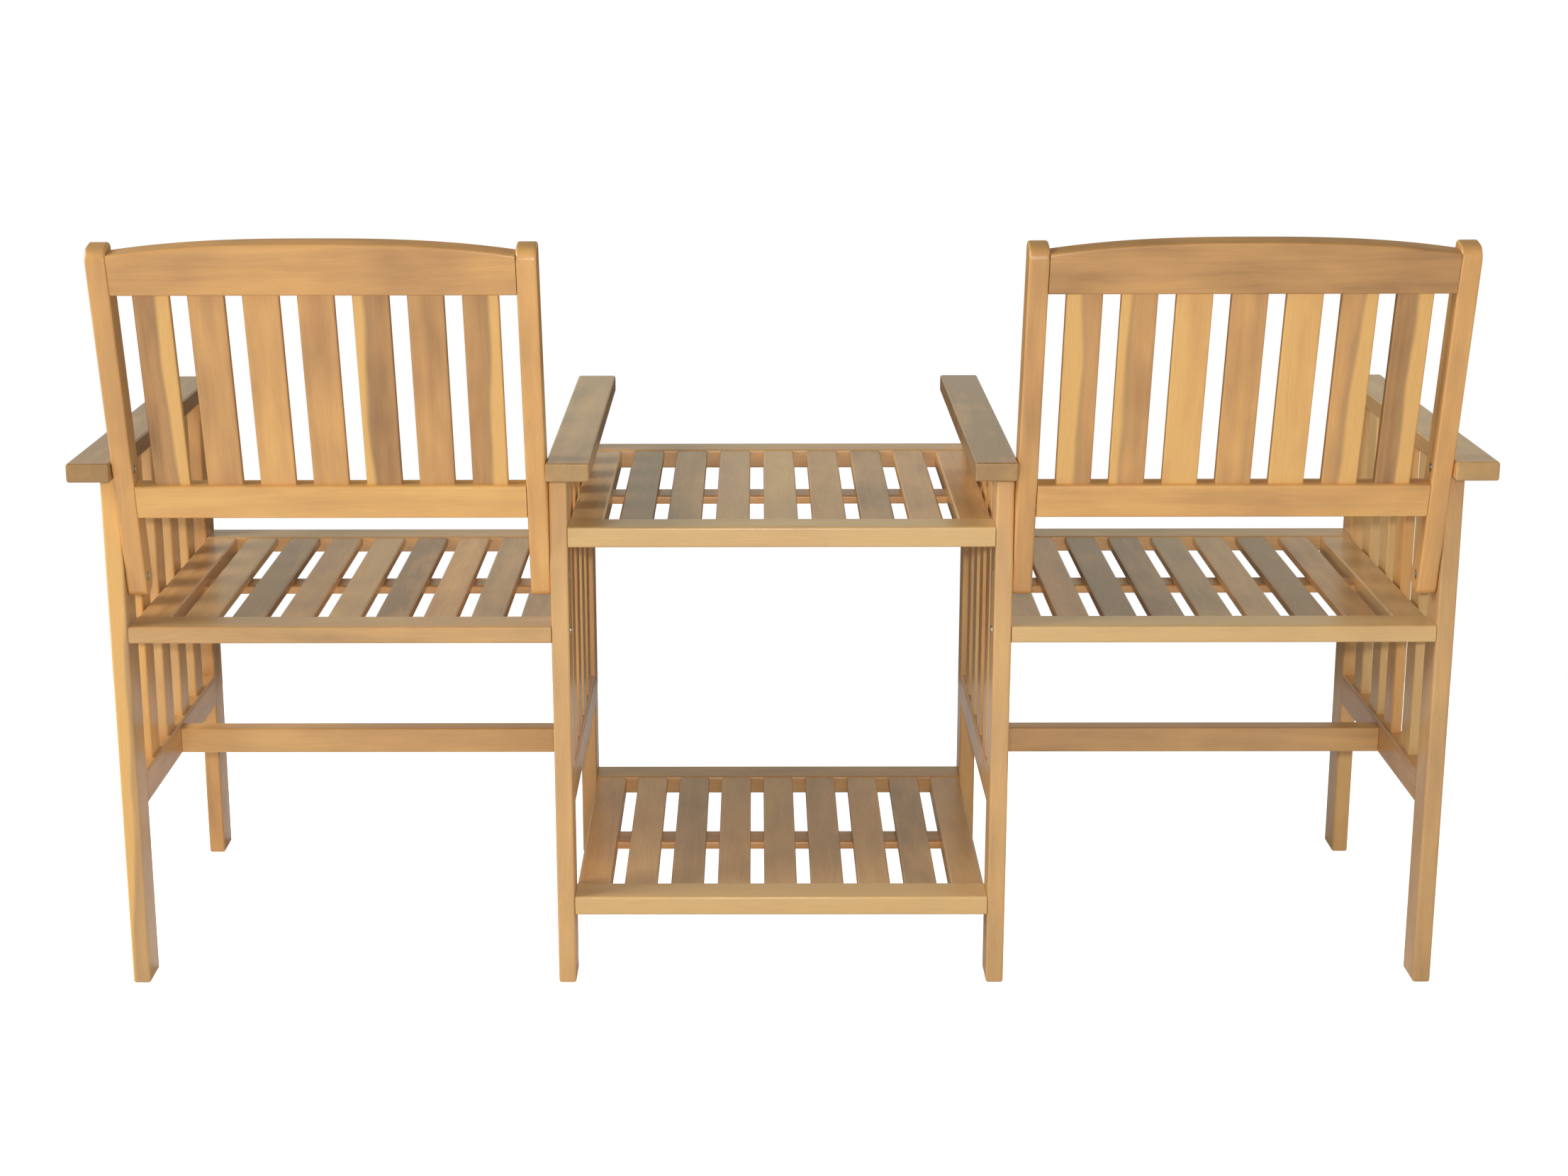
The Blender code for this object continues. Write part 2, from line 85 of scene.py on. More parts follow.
def oiled_acacia_finish():
    """Kiln-dried acacia, planed, sanded and oiled: honey brown, satin, softly streaked."""
    made = bpy.data.materials.new("oiled_acacia")
    made.use_nodes = True
    tree = made.node_tree
    shader = tree.nodes["Principled BSDF"]
    grain = add_node(tree, "ShaderNodeAttribute", attribute_name="grain").outputs["Vector"]
    tone = add_node(tree, "ShaderNodeAttribute", attribute_name="tone").outputs["Fac"]
    pale = add_node(tree, "ShaderNodeAttribute", attribute_name="pale").outputs["Fac"]
    fibre = add_node(tree, "ShaderNodeAttribute", attribute_name="fibre").outputs["Vector"]

    # The fibres wander a few millimetres over a hand's breadth
    stretched = add_node(tree, "ShaderNodeMapping", {"Vector": grain, "Scale": (6, 24, 24)})
    wander = add_node(tree, "ShaderNodeTexNoise",
                      {"Vector": stretched.outputs[0], "Scale": 1.0, "Detail": 1.5})
    centred = add_node(tree, "ShaderNodeVectorMath",
                       {0: wander.outputs["Color"], 1: (0.5, 0.5, 0.5)}, operation="SUBTRACT")
    bent = add_node(tree, "ShaderNodeVectorMath",
                    {0: centred.outputs[0], 1: (0, 0.02, 0.02), 2: grain},
                    operation="MULTIPLY_ADD").outputs[0]
    across = add_node(tree, "ShaderNodeVectorMath", {0: bent, 1: (0, 1, 1)},
                      operation="MULTIPLY")
    radius = add_node(tree, "ShaderNodeVectorMath", {0: across.outputs[0]},
                      operation="LENGTH").outputs["Value"]

    # Growth rings some 8 mm apart, and what lies between them: blotches as wide as a
    # finger, a figure 15 mm across, streaks 4 mm across, and fibres, drawn 1 mm apart
    # where the real ones are 0.2 mm
    layers = {"rings": add_node(tree, "ShaderNodeTexNoise",
                                {"W": radius, "Scale": 125.0, "Detail": 2.0},
                                noise_dimensions="1D").outputs[0]}
    for name, scale, detail in (("blotches", (8, 26, 26), 2.0), ("figure", (1.6, 66, 66), 2.5),
                                ("streaks", (3, 260, 260), 2.0), ("fibres", (18, 950, 950), 2.0)):
        stretched = add_node(tree, "ShaderNodeMapping", {"Vector": bent, "Scale": scale})
        layers[name] = add_node(tree, "ShaderNodeTexNoise",
                                {"Vector": stretched.outputs[0], "Scale": 1.0,
                                 "Detail": detail}).outputs[0]
    shares = {"rings": 0.12, "blotches": 1.0, "figure": 0.45, "streaks": 0.12}
    shade = tone
    for name, share in shares.items():
        shade = add_node(tree, "ShaderNodeMath", {0: layers[name], 1: share, 2: shade},
                         operation="MULTIPLY_ADD").outputs[0]
    # Every layer is a half on average, so that much is taken off again
    shade = add_node(tree, "ShaderNodeMath", {0: shade, 1: sum(shares.values()) / 2},
                     operation="SUBTRACT")
    heart = add_node(tree, "ShaderNodeValToRGB", {"Fac": shade.outputs[0]})
    for place, colour in ((0.25, "#BC894F"), (0.5, "#D19B5B"), (0.75, "#E3A961")):
        heart.color_ramp.elements.new(place).color = linear(colour)
    heart.color_ramp.elements[0].color = linear("#956A39")
    heart.color_ramp.elements[-1].color = linear("#EFB96A")

    # Some boards are mixed towards a paler, sandier and more even colour
    heart = add_node(tree, "ShaderNodeMix",
                     {0: pale, 6: heart.outputs["Color"], 7: linear("#CDB585")},
                     data_type="RGBA")

    # The pale sapwood outside the heart, past a band that is a little darker and greyer
    edge_band = add_node(tree, "ShaderNodeMapRange",
                         {"Value": radius, "From Min": edge_band_radii[0],
                          "From Max": edge_band_radii[1], "To Min": 0.0, "To Max": 0.3},
                         interpolation_type="SMOOTHSTEP")
    wood = add_node(tree, "ShaderNodeMix",
                    {0: edge_band.outputs[0], 6: heart.outputs[2], 7: linear("#AA8658")},
                    data_type="RGBA")
    sapwood = add_node(tree, "ShaderNodeMapRange",
                       {"Value": radius, "From Min": sapwood_radii[0],
                        "From Max": sapwood_radii[1], "To Min": 0.0, "To Max": 0.92},
                       interpolation_type="SMOOTHSTEP")
    wood = add_node(tree, "ShaderNodeMix",
                    {0: sapwood.outputs[0], 6: wood.outputs[2], 7: linear("#F0BA69")},
                    data_type="RGBA")

    # Sawn across, the pores drink more oil and the ends turn darker
    normal = add_node(tree, "ShaderNodeNewGeometry").outputs["Normal"]
    facing = add_node(tree, "ShaderNodeVectorMath", {0: normal, 1: fibre},
                      operation="DOT_PRODUCT").outputs["Value"]
    facing = add_node(tree, "ShaderNodeMath", {0: facing}, operation="ABSOLUTE")
    end_grain = add_node(tree, "ShaderNodeMapRange",
                         {"Value": facing.outputs[0], "From Min": 0.6, "From Max": 0.95,
                          "To Min": 0.0, "To Max": 0.5}, interpolation_type="SMOOTHSTEP")
    wood = add_node(tree, "ShaderNodeMix",
                    {0: end_grain.outputs[0], 6: wood.outputs[2], 7: linear("#B59058")},
                    data_type="RGBA")

    # Pin knots about 2 mm across, a few to a board
    stretched = add_node(tree, "ShaderNodeMapping", {"Vector": grain, "Scale": (14, 42, 42)})
    specks = add_node(tree, "ShaderNodeTexVoronoi",
                      {"Vector": stretched.outputs[0], "Scale": 1.0})
    drawn = add_node(tree, "ShaderNodeSeparateColor", {0: specks.outputs["Color"]})
    chosen = add_node(tree, "ShaderNodeMath", {0: drawn.outputs[0], 1: 0.96},
                      operation="GREATER_THAN")
    spot = add_node(tree, "ShaderNodeMapRange",
                    {"Value": specks.outputs["Distance"], "From Min": 0.07, "From Max": 0.03,
                     "To Min": 0.0, "To Max": 0.5}, interpolation_type="SMOOTHSTEP")
    knot = add_node(tree, "ShaderNodeMath", {0: chosen.outputs[0], 1: spot.outputs[0]},
                    operation="MULTIPLY")
    wood = add_node(tree, "ShaderNodeMix",
                    {0: knot.outputs[0], 6: wood.outputs[2], 7: linear("#6B4A2E")},
                    data_type="RGBA")
    fine = add_node(tree, "ShaderNodeMapRange",
                    {"Value": layers["fibres"], "From Min": 0.3, "From Max": 0.7,
                     "To Min": 0.95, "To Max": 1.04})
    wood = add_node(tree, "ShaderNodeVectorMath",
                    {0: wood.outputs[2], "Scale": fine.outputs[0]}, operation="SCALE")
    tree.links.new(wood.outputs[0], shader.inputs["Base Color"])

    # The oil leaves a satin skin, a little duller where the pores are open
    dull = add_node(tree, "ShaderNodeMapRange",
                    {"Value": layers["fibres"], "From Min": 0.3, "From Max": 0.7,
                     "To Min": 0.6, "To Max": 0.5})
    tree.links.new(dull.outputs[0], shader.inputs["Roughness"])
    shader.inputs["Coat Weight"].default_value = 0.8
    shader.inputs["Coat Roughness"].default_value = 0.25
    bump = add_node(tree, "ShaderNodeBump",
                    {"Strength": 0.15, "Distance": 0.0004, "Height": layers["fibres"]})
    tree.links.new(bump.outputs[0], shader.inputs["Normal"])
    return made


oiled_acacia = oiled_acacia_finish()
log_draw = random.Random(7)
tone_spread = 0.06

# The acacia boards' own colours: each has a tone, from dark to light, and a paleness
woods = {
    "umber": (-0.05, 0.06), "rosy": (0.08, 0.0), "brown": (0.3, 0.0), "tan": (0.5, 0.0),
    "honey": (0.72, 0.0), "straw": (0.95, 0.0), "drab": (0.25, 0.25), "sand": (0.5, 0.25),
    "wheat": (0.72, 0.27), "cream": (1.0, 0.45),
}


def sawn(centre, wood="tan", sap=None):
    """One board's place in its log. sap is the side that the sapwood is on, how far from the
    middle it starts, and how much nearer it comes per metre of the board's length."""
    across = log_draw.uniform(0.035, 0.055)
    side, slope = log_draw.choice((-1, 1)), log_draw.uniform(-0.02, 0.02)
    if sap is not None:
        side, start, slope = sap
        across = heart_radius - start
    tone, pale = woods[wood]
    return {
        "centre": Vector(centre),
        "place": Vector((log_draw.uniform(0, 40), across, log_draw.uniform(-0.02, 0.02))),
        "side": side,
        "slope": slope,
        "tone": tone + log_draw.uniform(-tone_spread, tone_spread),
        "pale": pale,
    }


def lay_grain(mesh, boards, along, across):
    """Give each point of a mesh of boards its place in the log, its tone and paleness, and
    the way that its fibres run."""
    through = along.cross(across)
    kinds = {"grain": "FLOAT_VECTOR", "tone": "FLOAT", "pale": "FLOAT", "fibre": "FLOAT_VECTOR"}
    for name, kind in kinds.items():
        mesh.attributes.new(name, kind, "POINT")
    grain, tone, pale, fibre = (mesh.attributes[name] for name in kinds)
    number = mesh.attributes.get("board")
    for index, vert in enumerate(mesh.vertices):
        board = boards[number.data[index].value if number else 0]
        offset = vert.co - board["centre"]
        length = offset.dot(along)
        width = offset.dot(across) * board["side"] + length * board["slope"]
        grain.data[index].vector = board["place"] + Vector((length, width, offset.dot(through)))
        tone.data[index].value = board["tone"]
        pale.data[index].value = board["pale"]
        fibre.data[index].vector = along


def finish_piece(name, mesh, nodes, material, place=None):
    """Put a mesh in place as one piece, which stands for the CAD nodes given, if any."""
    if place is not None:
        mesh.transform(place)
    mesh.shade_smooth()
    mesh.set_sharp_from_angle(angle=flat_angle)
    mesh.materials.clear()
    mesh.materials.append(material)
    piece = bpy.data.objects.new(name, mesh)
    bpy.context.scene.collection.objects.link(piece)
    flats = piece.modifiers.new("flat_faces", "WEIGHTED_NORMAL")
    flats.keep_sharp = True
    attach(piece, "root")
    if nodes:
        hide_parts(*nodes)
    return piece


def evaluated_mesh(thing):
    """The plain mesh that an object's modifiers make, with the object itself removed."""
    bpy.context.view_layer.update()
    depsgraph = bpy.context.evaluated_depsgraph_get()
    mesh = bpy.data.meshes.new_from_object(thing.evaluated_get(depsgraph), depsgraph=depsgraph)
    bpy.data.objects.remove(thing)
    return mesh


def planed_board(low, high, along, eased_low=False, eased_high=False):
    """A board between two corners, with its long edges eased and its ends where asked."""
    low, high = Vector(low), Vector(high)
    bm = bmesh.new()
    bmesh.ops.create_cube(bm, size=1.0, matrix=Matrix.Translation((low + high) / 2)
                          @ Matrix.Diagonal((*(high - low), 1.0)))
    eased = []
    for edge in bm.edges:
        run = (edge.verts[0].co - edge.verts[1].co).normalized()
        middle = (edge.verts[0].co + edge.verts[1].co) / 2
        at_high = middle.dot(along) > ((low + high) / 2).dot(along)
        if abs(run.dot(along)) > 0.9 or (eased_high if at_high else eased_low):
            eased.append(edge)
    bmesh.ops.bevel(bm, geom=eased, offset=arris, offset_type="OFFSET",
                    segments=arris_segments, profile=0.5, affect="EDGES")
    mesh = bpy.data.meshes.new("board")
    bm.to_mesh(mesh)
    bm.free()
    return mesh


def bored(mesh, holes):
    """Cut round holes, each a centre, an axis, a radius and a length."""
    body = bpy.data.objects.new("bored", mesh)
    bpy.context.scene.collection.objects.link(body)
    bits = []
    for centre, axis, radius, length in holes:
        bm = bmesh.new()
        bmesh.ops.create_cone(bm, cap_ends=True, segments=32, radius1=radius, radius2=radius,
                              depth=length, matrix=Matrix.Translation(centre)
                              @ axis.to_track_quat("Z", "Y").to_matrix().to_4x4())
        bit_mesh = bpy.data.meshes.new("bit")
        bm.to_mesh(bit_mesh)
        bm.free()
        bit = bpy.data.objects.new("bit", bit_mesh)
        bpy.context.scene.collection.objects.link(bit)
        bits.append(bit)
        cut = body.modifiers.new("hole", "BOOLEAN")
        cut.operation = "DIFFERENCE"
        cut.object = bit
    made = evaluated_mesh(body)
    for bit in bits:
        bpy.data.objects.remove(bit)
    return made


leg_woods = {
    "left_outer_rear": ("sand", (1, 0.002, 0.035)), "left_inner_rear": ("wheat", None),
    "right_inner_rear": ("wheat", None), "right_outer_rear": ("sand", None),
    "left_outer_front": ("tan", None), "left_inner_front": ("wheat", None),
    "right_inner_front": ("wheat", None), "right_outer_front": ("wheat", None),
}
arm_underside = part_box("left_outer_armrest")[0].z
for leg, (wood, sap) in leg_woods.items():
    low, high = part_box(leg + "_leg")
    high.z = arm_underside - joint_gap
    mesh = planed_board(low, high, along_z, eased_low=True)
    if leg.endswith("rear"):
        bolt_low, bolt_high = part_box(leg.replace("_rear", "_lower_back_bolt"))
        outside = 1 if bolt_low.x < low.x else -1
        face_x = high.x if outside > 0 else low.x
        centre = (bolt_low + bolt_high) / 2
        centre.x = face_x - outside * (nut_hole_depth - cut_overrun) / 2
        mesh = bored(mesh, [(centre, along_x, nut_hole_radius, nut_hole_depth + cut_overrun)])
    lay_grain(mesh, [sawn((low + high) / 2, wood, sap)], along_z, along_x)
    finish_piece(leg + "_leg_board", mesh, [leg + "_leg"], oiled_acacia)

# ---------------------------------------------------------------- Side frames: armrests
# Four armrests of planed acacia, 48 mm wide and 21 mm thick, with eased ends that run
# past the legs. Each is mortised for the legs and slats under it and glued down.
arm_woods = {"left_outer": "umber", "left_inner": "drab", "right_inner": "umber",
             "right_outer": "sand"}
for side, wood in arm_woods.items():
    low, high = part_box(side + "_armrest")
    mesh = planed_board(low, high, along_y, eased_low=True, eased_high=True)
    lay_grain(mesh, [sawn((low + high) / 2, wood)], along_y, along_x)
    finish_piece(side + "_arm_board", mesh, [side + "_armrest"], oiled_acacia)

# ---------------------------------------------------------------- Side frames: slats
# A low stretcher of planed acacia, tenoned between the two legs of a frame, carries four
# thin upright slats, 40 mm wide. Their ends are glued in mortises there and in the armrest.
side_slat_count = 4
side_slat_width = 0.0403
side_slat_end_gap = 0.0491
side_slat_thickness = {"left_outer": 0.0145, "left_inner": 0.013,
                       "right_inner": 0.013, "right_outer": 0.013}
side_slat_outset = {"left_outer": 0.0018, "left_inner": -0.001,
                    "right_inner": 0.001, "right_outer": -0.001}
right_side_slat_shifts = (-0.005, 0.0, -0.009, -0.005)
side_stretcher_height = 0.0393
thin_arris = 0.0022


def slat_row_tree():
    """Geometry nodes for a row of equal upright slats along X, numbered as they stand."""
    tree = bpy.data.node_groups.new("row_of_slats", "GeometryNodeTree")
    tree.interface.new_socket("Slats", in_out="OUTPUT", socket_type="NodeSocketGeometry")
    sockets = {}
    for name, kind in (("Slat Count", "Int"), ("First Slat", "Vector"), ("Slat Step", "Vector"),
                       ("Slat Width", "Float"), ("Slat Thickness", "Float"),
                       ("Slat Length", "Float"), ("Slat Arris", "Float"),
                       ("Slat Turn", "Vector")):
        made = tree.interface.new_socket(name, in_out="INPUT", socket_type="NodeSocket" + kind)
        sockets[name] = made.identifier
    given = add_node(tree, "NodeGroupInput").outputs
    section = add_node(tree, "GeometryNodeCurvePrimitiveQuadrilateral",
                       {"Width": given["Slat Width"], "Height": given["Slat Thickness"]})
    eased = add_node(tree, "GeometryNodeFilletCurve",
                     {"Curve": section.outputs[0], "Radius": given["Slat Arris"],
                      "Count": arris_segments + 1}, mode="POLY")
    top = add_node(tree, "ShaderNodeCombineXYZ", {"Z": given["Slat Length"]})
    run = add_node(tree, "GeometryNodeCurvePrimitiveLine", {"End": top.outputs[0]})
    slat = add_node(tree, "GeometryNodeCurveToMesh",
                    {"Curve": run.outputs[0], "Profile Curve": eased.outputs[0],
                     "Fill Caps": True})
    places = add_node(tree, "GeometryNodeMeshLine",
                      {"Count": given["Slat Count"], "Start Location": given["First Slat"],
                       "Offset": given["Slat Step"]}, mode="OFFSET")
    numbered = add_node(tree, "GeometryNodeStoreNamedAttribute",
                        {"Geometry": places.outputs[0], "Name": "board",
                         "Value": add_node(tree, "GeometryNodeInputIndex").outputs[0]},
                        data_type="INT", domain="POINT")
    turn = add_node(tree, "FunctionNodeEulerToRotation", {"Euler": given["Slat Turn"]})
    row = add_node(tree, "GeometryNodeInstanceOnPoints",
                   {"Points": numbered.outputs[0], "Instance": slat.outputs[0],
                    "Rotation": turn.outputs[0]})
    solid = add_node(tree, "GeometryNodeRealizeInstances", {"Geometry": row.outputs[0]})
    coated = add_node(tree, "GeometryNodeSetMaterial",
                      {"Geometry": solid.outputs[0], "Material": oiled_acacia})
    add_node(tree, "NodeGroupOutput", {"Slats": coated.outputs[0]})
    return tree, sockets


slat_tree, slat_sockets = slat_row_tree()


def slat_row(**sizes):
    """A plain mesh of the slats that the tree makes for these sizes."""
    thing = bpy.data.objects.new("row", bpy.data.meshes.new("row"))
    bpy.context.scene.collection.objects.link(thing)
    modifier = thing.modifiers.new("row", "NODES")
    modifier.node_group = slat_tree
    for name, value in sizes.items():
        modifier[slat_sockets[name.replace("_", " ").title()]] = value
    return evaluated_mesh(thing)


for side in arm_woods:
    node = side + "_slatted_side"
    low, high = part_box(node)
    rear_low, rear_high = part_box(side + "_rear_leg")
    front_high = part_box(side + "_front_leg")[1]
    low.x, high.x = rear_low.x, rear_high.x
    low.y, high.y = front_high.y + joint_gap, rear_low.y - joint_gap
    high.z = low.z + side_stretcher_height
    mesh = planed_board(low, high, along_y)
    lay_grain(mesh, [sawn((low + high) / 2, "tan")], along_y, along_z)
    finish_piece(side + "_side_stretcher", mesh, [node], oiled_acacia)

    middle = (low + high) / 2
    middle.x += side_slat_outset[side]
    reach = (high.y - low.y - side_slat_width) / 2 - side_slat_end_gap
    step = 2 * reach / (side_slat_count - 1)
    length = arm_underside - high.z
    mesh = slat_row(
        slat_count=side_slat_count, first_slat=(middle.x, middle.y - reach, high.z),
        slat_step=(0, step, 0), slat_width=side_slat_width,
        slat_thickness=side_slat_thickness[side], slat_length=length, slat_arris=thin_arris,
        slat_turn=(0, 0, math.pi / 2),
    )
    shifts = right_side_slat_shifts if side == "right_outer" else (0.0,) * side_slat_count
    number = mesh.attributes["board"]
    for index, vert in enumerate(mesh.vertices):
        vert.co.y += shifts[number.data[index].value]
    boards = [sawn((middle.x, middle.y - reach + step * place, high.z + length / 2),
                   log_draw.choice(("honey", "wheat", "cream")))
              for place in range(side_slat_count)]
    lay_grain(mesh, boards, along_z, along_y)
    finish_piece(side + "_side_slats", mesh, [node], oiled_acacia)

# ---------------------------------------------------------------- Seats, table top and shelf
# Each is a frame of two planed rails, let into the legs, and two side rails between them.
# Seven slats, 39 mm wide, are tenoned in a millimetre below the rails' tops, and a lath
# under them is let into the side rails.
panel_slat_count = 7
panel_slat_width = 0.039
panel_slat_thickness = 0.0115
panel_slat_drop = 0.001
side_rail_height = 0.0224
lath_thickness = 0.0105
lath_width = 0.040
slat_shift = {"left_seat": 0.0022, "right_seat": 0, "table": 0, "shelf": 0}
lath_forward = {"left_seat": 0.011, "right_seat": 0.011, "table": 0, "shelf": 0}
rail_woods = {
    "left_seat_rear": "sand", "left_seat_front": "sand", "right_seat_rear": "cream",
    "right_seat_front": "sand", "table_rear": "cream", "table_front": "sand",
    "shelf_rear": "cream", "shelf_front": "sand",
}
panel_woods = {
    "left_seat": ("drab", "drab", "tan", "rosy", "wheat", "tan", "umber", "sand", "brown"),
    "right_seat": ("sand", "brown", "umber", "sand", "drab", "rosy", "umber", "tan", "sand"),
    "table": ("tan", "tan", "brown", "tan", "wheat", "sand", "brown", "umber", "drab"),
    "shelf": ("sand", "drab", "wheat", "sand", "wheat", "wheat", "drab", "wheat", "tan"),
}
for panel, row_woods in panel_woods.items():
    # The rear and the front rail
    rails = {}
    for row in ("rear", "front"):
        node = panel + "_" + row + "_rail"
        low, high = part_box(node)
        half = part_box(panel + "_slats")[1].x - (low.x + high.x) / 2
        low.x, high.x = (low.x + high.x) / 2 - half, (low.x + high.x) / 2 + half
        rails[row] = (low, high)
        mesh = planed_board(low, high, along_x)
        lay_grain(mesh, [sawn((low + high) / 2, rail_woods[panel + "_" + row])],
                  along_x, along_z)
        finish_piece(node + "_board", mesh, [node], oiled_acacia)

    # The thin slats
    front_y, rear_y = rails["front"][1].y, rails["rear"][0].y
    middle_x = (rails["rear"][0].x + rails["rear"][1].x) / 2
    half_width = (rails["rear"][1].x - rails["rear"][0].x) / 2
    slat_top = rails["rear"][1].z - panel_slat_drop
    slat_z = slat_top - panel_slat_thickness / 2
    reach = half_width - panel_slat_width / 2
    step = 2 * reach / (panel_slat_count + 1)
    first_x = middle_x - reach + step + slat_shift[panel]
    length = rear_y - front_y - 2 * joint_gap
    mesh = slat_row(
        slat_count=panel_slat_count, first_slat=(first_x, rear_y - joint_gap, slat_z),
        slat_step=(step, 0, 0), slat_width=panel_slat_width,
        slat_thickness=panel_slat_thickness, slat_length=length, slat_arris=arris,
        slat_turn=(math.pi / 2, 0, 0),
    )
    boards = [sawn((first_x + step * place, (front_y + rear_y) / 2, slat_z), wood)
              for place, wood in enumerate(row_woods[1:-1])]
    lay_grain(mesh, boards, along_y, along_x)
    finish_piece(panel + "_slat_row", mesh, [panel + "_slats"], oiled_acacia)

    # The thicker side rails, one past each end of the row
    side_z = slat_top - side_rail_height / 2
    mesh = slat_row(
        slat_count=2, first_slat=(middle_x - reach, rear_y - joint_gap, side_z),
        slat_step=(2 * reach, 0, 0), slat_width=panel_slat_width,
        slat_thickness=side_rail_height, slat_length=length, slat_arris=arris,
        slat_turn=(math.pi / 2, 0, 0),
    )
    boards = [sawn((middle_x + side * reach, (front_y + rear_y) / 2, side_z), wood)
              for side, wood in ((-1, row_woods[0]), (1, row_woods[-1]))]
    lay_grain(mesh, boards, along_y, along_x)
    finish_piece(panel + "_side_rails", mesh, [panel + "_slats"], oiled_acacia)

    # The lath under the slats
    lath_top = slat_top - panel_slat_thickness
    lath_y = (front_y + rear_y) / 2 - lath_forward[panel]
    half_lath = reach - panel_slat_width / 2
    low = Vector((middle_x - half_lath, lath_y - lath_width / 2, lath_top - lath_thickness))
    high = Vector((middle_x + half_lath, lath_y + lath_width / 2, lath_top))
    mesh = planed_board(low, high, along_x)
    lay_grain(mesh, [sawn((low + high) / 2, "tan")], along_x, along_y)
    finish_piece(panel + "_lath", mesh, [panel + "_slats"], oiled_acacia)

# ---------------------------------------------------------------- Stretchers under the seats
# One planed bar of acacia under each seat, 26 by 32 mm, ties its two side frames together.
# Its ends are tenoned and glued into their low stretchers.
stretcher_tenon = 0.009
for chair, wood in (("left", "wheat"), ("right", "sand")):
    node = chair + "_chair_stretcher"
    low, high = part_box(node)
    low.x, high.x = low.x + stretcher_tenon, high.x - stretcher_tenon
    mesh = planed_board(low, high, along_x)
    lay_grain(mesh, [sawn((low + high) / 2, wood)], along_x, along_z)
    finish_piece(node + "_board", mesh, [node], oiled_acacia)

# ---------------------------------------------------------------- Backs: stiles
# Two stiles to a chair lean back 13 degrees, 34 by 22 mm, with rounded heads and feet.
# Each is counterbored twice on the chair's side for the bolts that hold it.
back_lean = math.radians(13.37)
back_foot_above_seat = 0.0313
back_foot_inset = 0.0119
stile_length = 0.4195
stile_depth = 0.0343
stile_thickness = 0.0225
stile_radii = ((0, stile_length, 0.016), (-stile_depth, stile_length, 0.008),
               (-stile_depth, 0, 0.015), (0, 0, 0.011))
corner_segments = 8
counterbore_radius = 0.0062
counterbore_depth = 0.0035
panel_half_width = 0.24175


def rounded_outline(corners):
    """Points round a shape in the YZ plane whose corners are arcs of their own radius."""
    points = []
    inwards = ((-1, -1), (1, -1), (1, 1), (-1, 1))
    for quarter, (y, z, radius) in enumerate(corners):
        centre_y = y + inwards[quarter][0] * radius
        centre_z = z + inwards[quarter][1] * radius
        for part in range(corner_segments + 1):
            turn = math.pi / 2 * (quarter + part / corner_segments)
            points.append(Vector((0, centre_y + radius * math.cos(turn),
                                  centre_z + radius * math.sin(turn))))
    return points


def thick_shape(outline, start, thickness, eased, arris_width):
    """A flat outline made into a board, with the arrises of both its faces eased."""
    bm = bmesh.new()
    face = bm.faces.new([bm.verts.new(point + start) for point in outline])
    grown = bmesh.ops.extrude_face_region(bm, geom=[face])
    moved = [part for part in grown["geom"] if isinstance(part, bmesh.types.BMVert)]
    bmesh.ops.translate(bm, vec=thickness, verts=moved)
    bmesh.ops.recalc_face_normals(bm, faces=bm.faces[:])
    direction = thickness.normalized()
    rims = [edge for edge in bm.edges
            if abs((edge.verts[0].co - edge.verts[1].co).normalized().dot(direction)) < 0.1
            and eased(edge)]
    bmesh.ops.bevel(bm, geom=rims, offset=arris_width, offset_type="OFFSET",
                    segments=arris_segments, profile=0.5, affect="EDGES")
    mesh = bpy.data.meshes.new("shape")
    bm.to_mesh(mesh)
    bm.free()
    return mesh


chair_places = {}
for chair in ("left", "right"):
    seat_low, seat_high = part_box(chair + "_seat_rear_rail")
    leg_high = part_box(chair + "_outer_rear_leg")[1]
    chair_places[chair] = Matrix.Translation(
        ((seat_low.x + seat_high.x) / 2, leg_high.y - back_foot_inset,
         seat_high.z + back_foot_above_seat)
    ) @ Matrix.Rotation(-back_lean, 4, "X")
stile_woods = {"left_outer": "honey", "left_inner": "honey",
               "right_inner": "tan", "right_outer": "honey"}
for stile, wood in stile_woods.items():
    chair = stile.split("_")[0]
    outwards = 1 if chair == "left" else -1
    side = outwards if stile.endswith("outer") else -outwards
    outer_face = side * (panel_half_width - joint_gap)
    place = chair_places[chair]
    start = Vector((min(outer_face, outer_face - side * stile_thickness), 0, 0))
    mesh = thick_shape(rounded_outline(stile_radii), start, Vector((stile_thickness, 0, 0)),
                       lambda edge: True, arris)
    lean_axis = place.to_3x3() @ along_z
    mesh.transform(place)
    holes = []
    inner_face_x = place.translation.x + outer_face - side * stile_thickness
    for kind in ("upper", "lower"):
        bolt_low, bolt_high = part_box(stile + "_" + kind + "_back_bolt")
        centre = (bolt_low + bolt_high) / 2
        centre.x = inner_face_x + side * (counterbore_depth - cut_overrun) / 2
        holes.append((centre, along_x, counterbore_radius, counterbore_depth + cut_overrun))
    mesh = bored(mesh, holes)
    middle = place @ Vector((outer_face - side * stile_thickness / 2, -stile_depth / 2,
                             stile_length / 2))
    lay_grain(mesh, [sawn(middle, wood)], lean_axis, along_x)
    finish_piece(stile + "_stile_board", mesh, [stile + "_stile"], oiled_acacia)

